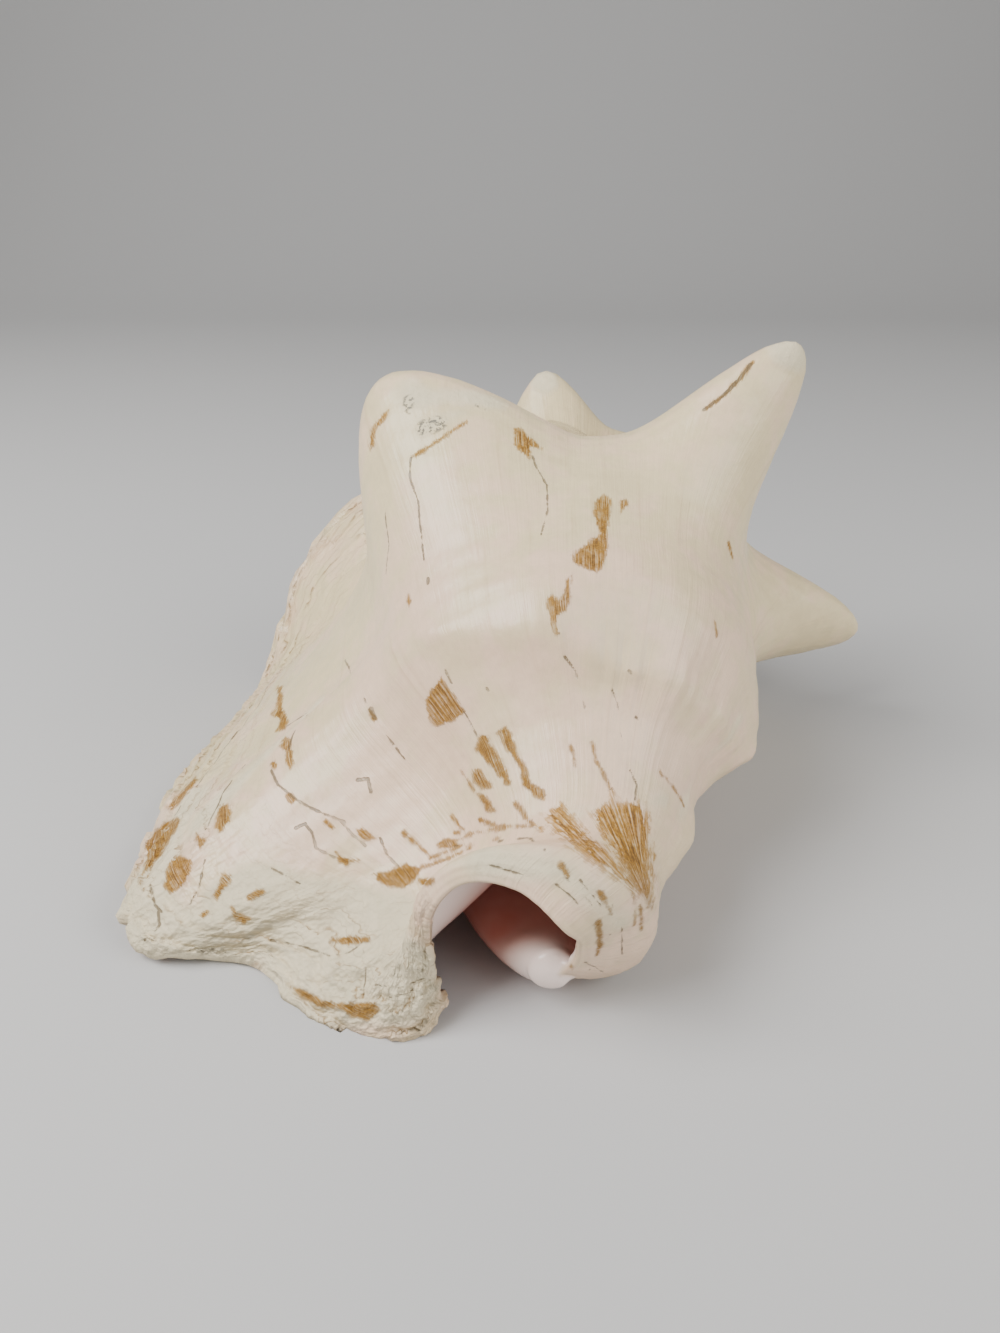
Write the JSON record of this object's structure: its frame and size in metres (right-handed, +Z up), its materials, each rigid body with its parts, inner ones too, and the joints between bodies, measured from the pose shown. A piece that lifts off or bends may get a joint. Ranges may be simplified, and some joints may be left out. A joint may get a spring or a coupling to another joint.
{
  "type": "conch shell",
  "caption": "Pale cream and pink conch shell with long shoulder spines, a broad flaring lip and an arched canal, lying with its opening down.",
  "frame": {"origin": "middle of the shell's plan, on the surface it lies on", "axes": "+X to the right of the picture's viewer, +Y away from the viewer, roughly from the canal to the spire, +Z up; the flared lip is on the -X side"},
  "size_m": [0.2651, 0.232, 0.1572],
  "materials": {
    "shell": "pale cream to pink shell, chalky where worn, glossy pink inside, brown flakes of outer skin"
  },
  "bodies": {
    "root": {"shell": "shell"}
  },
  "joints": []
}
